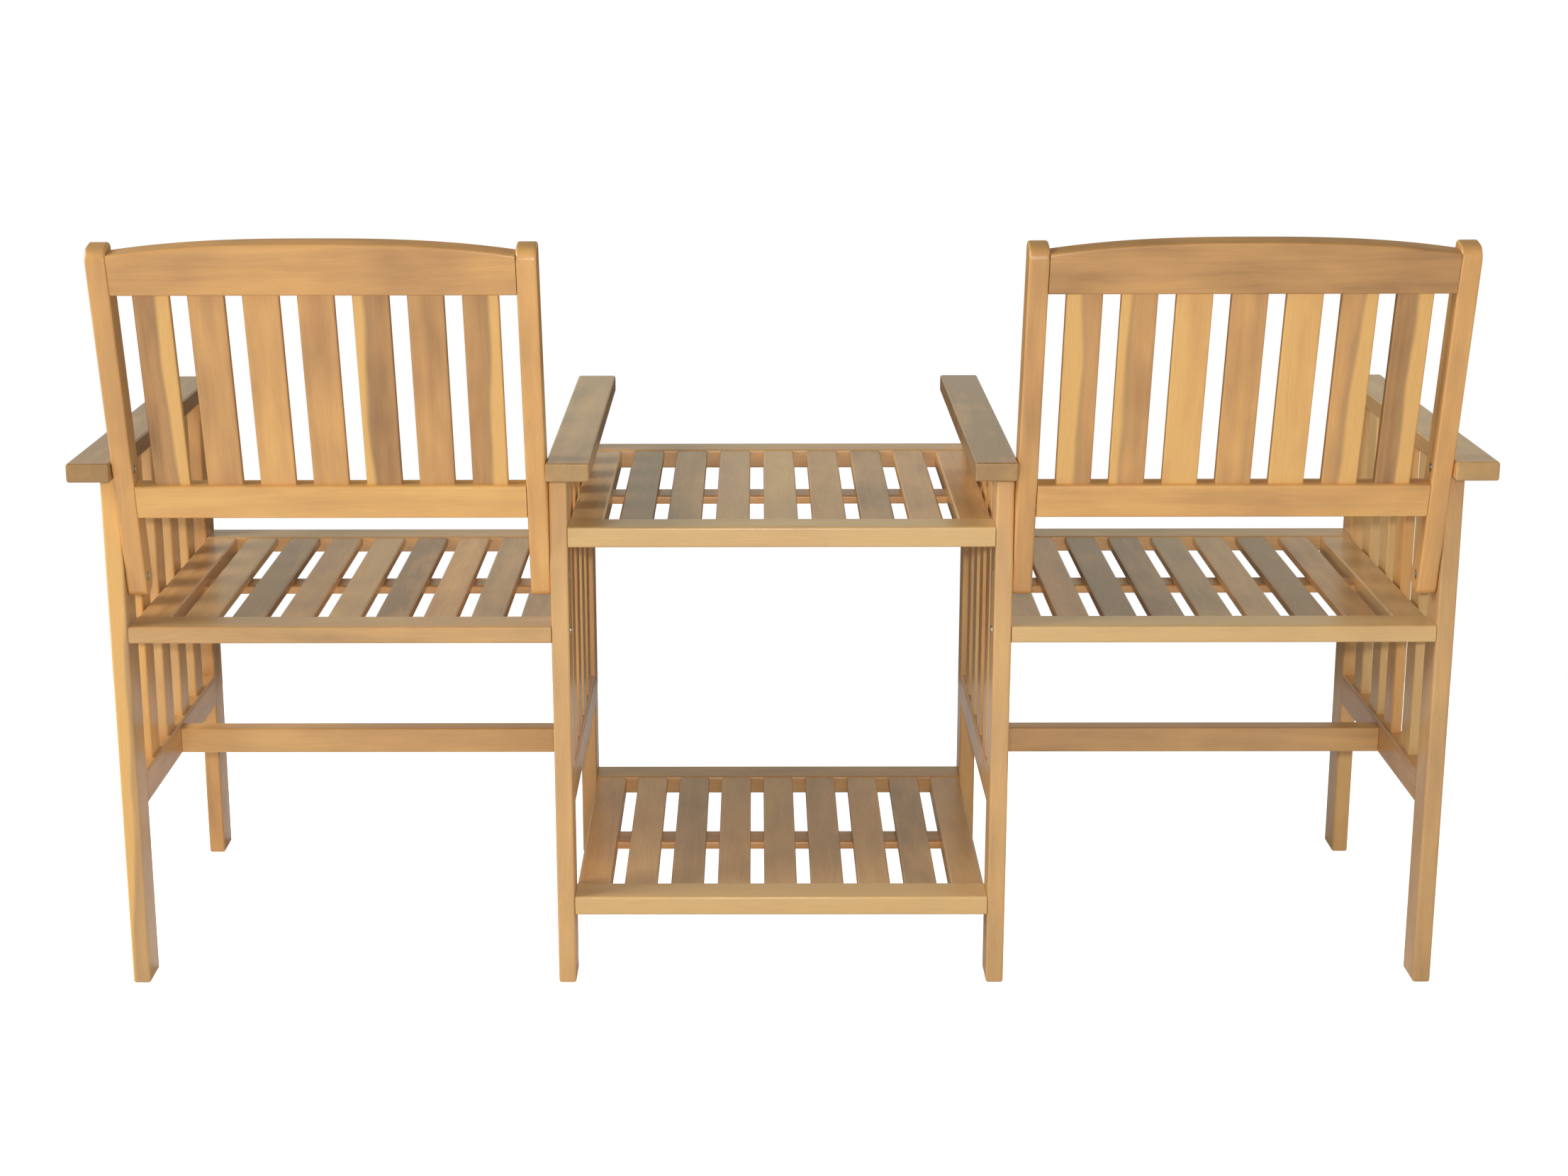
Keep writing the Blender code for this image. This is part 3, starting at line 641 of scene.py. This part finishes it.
# ---------------------------------------------------------------- Backs: rails and slats
# Between the stiles a crest rail with an arched top and a straight lower rail, both glued
# on tenons, hold seven thin upright slats, 40 mm wide, whose ends stand in mortises.
clear_width = 2 * (panel_half_width - 2 * joint_gap - stile_thickness)
rail_recess = 0.001
crest_foot = 0.3672
crest_end_height = 0.0455
crest_rise = 0.013
crest_curve_power = 2.6
crest_thickness = 0.0225
crest_steps = 48
lower_rail_foot = 0.1005
lower_rail_height = 0.0395
lower_rail_thickness = 0.0205
back_slat_count = 7
back_slat_width = 0.0396
back_slat_outer_gap = 0.0221
back_slat_inner_gap = 0.0200
back_slat_recess = 0.0052
back_slat_thickness = 0.011
back_rail_woods = {"left_crest": "tan", "left_lower": "straw",
                   "right_crest": "brown", "right_lower": "honey"}
back_slat_woods = {
    "left": (("brown", (-1, 0.007, 0.0)), ("tan", None), ("brown", (1, 0.011, 0.0)),
             ("tan", None), ("honey", None), ("tan", None), ("brown", (-1, 0.006, 0.01))),
    "right": (("brown", (-1, 0.004, -0.02)), ("tan", (-1, 0.004, -0.03)), ("straw", None),
              ("tan", None), ("straw", None), ("tan", (1, 0.011, 0.0)),
              ("tan", (1, 0.001, 0.0))),
}
for chair, slat_woods in back_slat_woods.items():
    # The crest rail, with its top edge sawn to an arch
    place = chair_places[chair]
    half = clear_width / 2
    outline = [Vector((-half, 0, crest_foot)), Vector((half, 0, crest_foot))]
    for step in range(crest_steps + 1):
        x = half - clear_width * step / crest_steps
        rise = crest_rise * (1 - abs(x / half) ** crest_curve_power)
        outline.append(Vector((x, 0, crest_foot + crest_end_height + rise)))
    mesh = thick_shape(
        outline, Vector((0, -rail_recess - crest_thickness, 0)),
        Vector((0, crest_thickness, 0)),
        lambda edge: abs(edge.verts[0].co.x - edge.verts[1].co.x) > joint_gap, arris)
    lay_grain(mesh, [sawn((0, 0, crest_foot + crest_end_height / 2),
                          back_rail_woods[chair + "_crest"])], along_x, along_z)
    finish_piece(chair + "_crest_board", mesh, [chair + "_crest_rail"], oiled_acacia,
                 place)

    # The lower rail
    low = Vector((-half, -rail_recess - lower_rail_thickness, lower_rail_foot))
    high = Vector((half, -rail_recess, lower_rail_foot + lower_rail_height))
    mesh = planed_board(low, high, along_x)
    lay_grain(mesh, [sawn((low + high) / 2, back_rail_woods[chair + "_lower"])],
              along_x, along_z)
    finish_piece(chair + "_lower_back_board", mesh, [chair + "_lower_back_rail"], oiled_acacia,
                 place)

    # The slats, which stand a little nearer the inner stile
    end_gaps = (back_slat_inner_gap, back_slat_outer_gap)
    if chair == "right":
        end_gaps = (back_slat_outer_gap, back_slat_inner_gap)
    first_x = end_gaps[0] + back_slat_width / 2 - half
    step = (half - end_gaps[1] - back_slat_width / 2 - first_x) / (back_slat_count - 1)
    slat_y = -rail_recess - back_slat_recess - back_slat_thickness / 2
    slat_foot = high.z
    mesh = slat_row(
        slat_count=back_slat_count, first_slat=(first_x, slat_y, slat_foot),
        slat_step=(step, 0, 0), slat_width=back_slat_width,
        slat_thickness=back_slat_thickness, slat_length=crest_foot - slat_foot,
        slat_arris=thin_arris, slat_turn=(0, 0, 0),
    )
    boards = [sawn((first_x + step * number, slat_y, (slat_foot + crest_foot) / 2), wood, sap)
              for number, (wood, sap) in enumerate(slat_woods)]
    lay_grain(mesh, boards, along_z, along_x)
    nodes = [chair + "_back_slat_" + str(number + 1) for number in range(back_slat_count)]
    finish_piece(chair + "_back_slats", mesh, nodes, oiled_acacia, place)

# ---------------------------------------------------------------- Bolts
# Zinc-plated steel bolts with hexagon sockets. Eight M6 ones clamp the stiles, each screwed
# into a sleeve nut, and twelve draw the rails of the seats and the shelf to the legs.
bolt_sides = {"Head": 32, "Shank": 24, "Nut": 32, "Head Socket": 6, "Nut Socket": 6}
head_radius = 0.0048
head_height = 0.003
shank_radius = 0.003
nut_radius = 0.005
nut_lengths = {"upper": 0.018, "lower": 0.0127}
socket_radius = 0.0023
socket_depth = 0.0018
socket_overrun = 0.001
bolt_chamfer = 0.0004
chamfered_angle = math.radians(50)
rail_bolt_length = 0.012
rail_bolt_proud = 0.0009
rail_bolt_legs = {"left_seat": ("left_outer", "left_inner"),
                  "right_seat": ("right_inner", "right_outer"),
                  "shelf": ("left_inner", "right_inner")}


def zinc_plate_finish():
    """Bright zinc plate on steel: pale blue-grey metal, satin, mottled by the millimetre."""
    made = bpy.data.materials.new("zinc_plate")
    made.use_nodes = True
    tree = made.node_tree
    shader = tree.nodes["Principled BSDF"]
    shader.inputs["Metallic"].default_value = 1.0
    place = add_node(tree, "ShaderNodeTexCoord").outputs["Object"]
    mottle = add_node(tree, "ShaderNodeTexNoise",
                      {"Vector": place, "Scale": 900.0, "Detail": 3.0}).outputs[0]
    plate = add_node(tree, "ShaderNodeMix",
                     {0: mottle, 6: linear("#AEB4B8"), 7: linear("#DDE0E0")}, data_type="RGBA")
    tree.links.new(plate.outputs[2], shader.inputs["Base Color"])
    satin = add_node(tree, "ShaderNodeMapRange",
                     {"Value": mottle, "From Min": 0.3, "From Max": 0.7,
                      "To Min": 0.26, "To Max": 0.4})
    tree.links.new(satin.outputs[0], shader.inputs["Roughness"])
    bump = add_node(tree, "ShaderNodeBump",
                    {"Strength": 0.1, "Distance": 0.0001, "Height": mottle})
    tree.links.new(bump.outputs[0], shader.inputs["Normal"])
    return made


zinc_plate = zinc_plate_finish()


def bolt_tree():
    """Geometry nodes for a bolt and its nut on each of the points given, turned as they say."""
    tree = bpy.data.node_groups.new("bolts_and_nuts", "GeometryNodeTree")
    tree.interface.new_socket("Bolts", in_out="OUTPUT", socket_type="NodeSocketGeometry")
    tree.interface.new_socket("Places", in_out="INPUT", socket_type="NodeSocketGeometry")
    sockets = {}
    for part in bolt_sides:
        for size, kind in (("Radius", "Float"), ("Length", "Float"), ("Middle", "Vector")):
            made = tree.interface.new_socket(part + " " + size, in_out="INPUT",
                                             socket_type="NodeSocket" + kind)
            sockets[part, size] = made.identifier
    given = add_node(tree, "NodeGroupInput").outputs
    rods = {}
    for part, sides in bolt_sides.items():
        rod = add_node(tree, "GeometryNodeMeshCylinder",
                       {"Vertices": sides, "Radius": given[part + " Radius"],
                        "Depth": given[part + " Length"]})
        placed = add_node(tree, "GeometryNodeTransform",
                          {"Geometry": rod.outputs["Mesh"],
                           "Translation": given[part + " Middle"]})
        rods[part] = placed.outputs[0]
    solid = add_node(tree, "GeometryNodeMeshBoolean",
                     {"Mesh 2": [rods["Head"], rods["Shank"], rods["Nut"]]},
                     operation="UNION")
    bolt = add_node(tree, "GeometryNodeMeshBoolean",
                    {"Mesh 1": solid.outputs[0],
                     "Mesh 2": [rods["Head Socket"], rods["Nut Socket"]]},
                    operation="DIFFERENCE")
    turn = add_node(tree, "GeometryNodeInputNamedAttribute", {"Name": "turn"},
                    data_type="FLOAT_VECTOR")
    turned = add_node(tree, "FunctionNodeEulerToRotation", {"Euler": turn.outputs[0]})
    row = add_node(tree, "GeometryNodeInstanceOnPoints",
                   {"Points": given["Places"], "Instance": bolt.outputs[0],
                    "Rotation": turned.outputs[0]})
    whole = add_node(tree, "GeometryNodeRealizeInstances", {"Geometry": row.outputs[0]})
    plated = add_node(tree, "GeometryNodeSetMaterial",
                      {"Geometry": whole.outputs[0], "Material": zinc_plate})
    add_node(tree, "NodeGroupOutput", {"Bolts": plated.outputs[0]})
    return tree, sockets


bolt_nodes, bolt_sockets = bolt_tree()


def bolts(places, length, nut_length):
    """A plain mesh of bolts, each from a point on the face that its head is in, inwards."""
    mesh = bpy.data.meshes.new("bolts")
    mesh.from_pydata([point for point, inwards in places], [], [])
    turn = mesh.attributes.new("turn", "FLOAT_VECTOR", "POINT")
    for index, (point, inwards) in enumerate(places):
        turn.data[index].vector = (0, inwards * math.pi / 2, 0)
    thing = bpy.data.objects.new("bolts", mesh)
    bpy.context.scene.collection.objects.link(thing)
    modifier = thing.modifiers.new("bolts", "NODES")
    modifier.node_group = bolt_nodes
    for part, radius, start, end in (
            ("Head", head_radius, 0, head_height),
            ("Shank", shank_radius, head_height / 2, length - nut_length / 2),
            ("Nut", nut_radius, length - nut_length, length),
            ("Head Socket", socket_radius, -socket_overrun, socket_depth),
            ("Nut Socket", socket_radius, length - socket_depth, length + socket_overrun)):
        modifier[bolt_sockets[part, "Radius"]] = radius
        modifier[bolt_sockets[part, "Length"]] = end - start
        modifier[bolt_sockets[part, "Middle"]] = (0, 0, (start + end) / 2)
    chamfers = thing.modifiers.new("chamfers", "BEVEL")
    chamfers.width = bolt_chamfer
    chamfers.segments = 2
    chamfers.limit_method = "ANGLE"
    chamfers.angle_limit = chamfered_angle
    return evaluated_mesh(thing)


for kind, nut_length in nut_lengths.items():
    places, nodes = [], []
    for stile in stile_woods:
        node = stile + "_" + kind + "_back_bolt"
        low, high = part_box(node)
        inwards = 1 if stile in ("left_outer", "right_inner") else -1
        face_x = low.x if inwards > 0 else high.x
        places.append((Vector((face_x, (low.y + high.y) / 2, (low.z + high.z) / 2)), inwards))
        nodes.append(node)
    finish_piece(kind + "_back_bolts", bolts(places, high.x - low.x, nut_length), nodes,
                 zinc_plate)

places = []
for panel, legs in rail_bolt_legs.items():
    for row in ("rear", "front"):
        low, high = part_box(panel + "_" + row + "_rail")
        for side, leg in zip((1, -1), legs):
            leg_low, leg_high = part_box(leg + "_" + row + "_leg")
            face_x = leg_high.x + rail_bolt_proud if side > 0 else leg_low.x - rail_bolt_proud
            places.append((Vector((face_x, (low.y + high.y) / 2, (low.z + high.z) / 2)), -side))
finish_piece("rail_bolts", bolts(places, rail_bolt_length, rail_bolt_length / 2), [],
             zinc_plate)

# ---------------------------------------------------------------- Studio
# A white floor and backdrop, a large soft light high at the left, a weaker one at the right,
# and a flash and an umbrella beside the camera.
camera_place = (0.0276, 3.0212, 1.2186)
camera_heading = math.pi + 0.0046
camera_dip = 0.2570
camera_roll = -0.0024
floor_corners = [(-2.5, -1.0, 0), (2.5, -1.0, 0), (2.5, 4.0, 0), (-2.5, 4.0, 0)]
backdrop_light = 0.67
room_light = 0.08
bench_middle = (0, 0, 0.45)

camera_data = bpy.data.cameras.new("camera")
camera = bpy.data.objects.new("camera", camera_data)
camera_data.lens = 58.61
camera_data.sensor_width = 36.0
camera_data.shift_x = 0.0244
camera.matrix_world = (
    Matrix.Translation(camera_place) @ Matrix.Rotation(camera_heading, 4, "Z")
    @ Matrix.Rotation(math.pi / 2 - camera_dip, 4, "X") @ Matrix.Rotation(camera_roll, 4, "Z")
)
bpy.context.scene.collection.objects.link(camera)
bpy.context.scene.camera = camera
bpy.context.scene.view_settings.view_transform = "Standard"

floor_mesh = bpy.data.meshes.new("floor")
floor_mesh.from_pydata(floor_corners, [], [(0, 1, 2, 3)])
floor = bpy.data.objects.new("floor", floor_mesh)
bpy.context.scene.collection.objects.link(floor)
paper = bpy.data.materials.new("white_paper")
paper.use_nodes = True
paper_shader = paper.node_tree.nodes["Principled BSDF"]
paper_shader.inputs["Roughness"].default_value = 0.9
paper_shader.inputs["Emission Color"].default_value = linear("#FFFFFF")
looked_at = add_node(paper.node_tree, "ShaderNodeLightPath").outputs["Is Camera Ray"]
shown = add_node(paper.node_tree, "ShaderNodeMix",
                 {0: looked_at, 6: linear("#EEEEEE"), 7: linear("#F0F0F0")}, data_type="RGBA")
paper.node_tree.links.new(shown.outputs[2], paper_shader.inputs["Base Color"])
paper.node_tree.links.new(looked_at, paper_shader.inputs["Emission Strength"])
floor_mesh.materials.append(paper)

# The backdrop stands behind the bench, towards -Y, and fades out at its top and its foot
world = bpy.data.worlds.new("white_room")
world.use_nodes = True
room = world.node_tree
direction = add_node(room, "ShaderNodeSeparateXYZ", {
    0: add_node(room, "ShaderNodeTexCoord").outputs["Generated"]}).outputs
towards_backdrop = add_node(room, "ShaderNodeMapRange", {
    "Value": direction["Y"], "From Min": -0.6, "From Max": -0.9,
    "To Min": 0.0, "To Max": backdrop_light}, interpolation_type="SMOOTHSTEP")
below_its_top = add_node(room, "ShaderNodeMapRange", {
    "Value": direction["Z"], "From Min": 0.7, "From Max": 0.2,
    "To Min": 0.0, "To Max": 1.0}, interpolation_type="SMOOTHSTEP")
above_its_foot = add_node(room, "ShaderNodeMapRange", {
    "Value": direction["Z"], "From Min": -0.05, "From Max": 0.05,
    "To Min": 0.0, "To Max": 1.0}, interpolation_type="SMOOTHSTEP")
its_height = add_node(room, "ShaderNodeMath", {
    0: below_its_top.outputs[0], 1: above_its_foot.outputs[0]}, operation="MULTIPLY")
backdrop = add_node(room, "ShaderNodeMath", {
    0: towards_backdrop.outputs[0], 1: its_height.outputs[0], 2: room_light},
    operation="MULTIPLY_ADD")
seen = add_node(room, "ShaderNodeLightPath").outputs["Is Camera Ray"]
bright = add_node(room, "ShaderNodeMix", {0: seen, 2: backdrop.outputs[0], 3: 1.0},
                  data_type="FLOAT")
room.links.new(bright.outputs[0], room.nodes["Background"].inputs["Strength"])
tint = add_node(room, "ShaderNodeMix",
                {0: seen, 6: linear("#FFFBE4"), 7: linear("#FFFFFF")}, data_type="RGBA")
room.links.new(tint.outputs[2], room.nodes["Background"].inputs["Color"])
bpy.context.scene.world = world


def softbox(name, place, size, power):
    """A square light that faces the middle of the bench."""
    lamp = bpy.data.lights.new(name, "AREA")
    lamp.shape = "RECTANGLE"
    lamp.size, lamp.size_y = size, size
    lamp.energy = power
    made = bpy.data.objects.new(name, lamp)
    made.location = place
    towards = Vector(bench_middle) - Vector(place)
    made.rotation_euler = towards.to_track_quat("-Z", "Y").to_euler()
    bpy.context.scene.collection.objects.link(made)


softbox("flash", (0.03, 3.0, 1.31), 0.08, 30)
softbox("umbrella", (-0.9, 4.0, 1.6), 1.2, 13)
softbox("left_softbox", (4.0, 0.85, 2.6), 2.5, 170)
softbox("right_softbox", (-3.6, 0.9, 2.2), 2.4, 40)
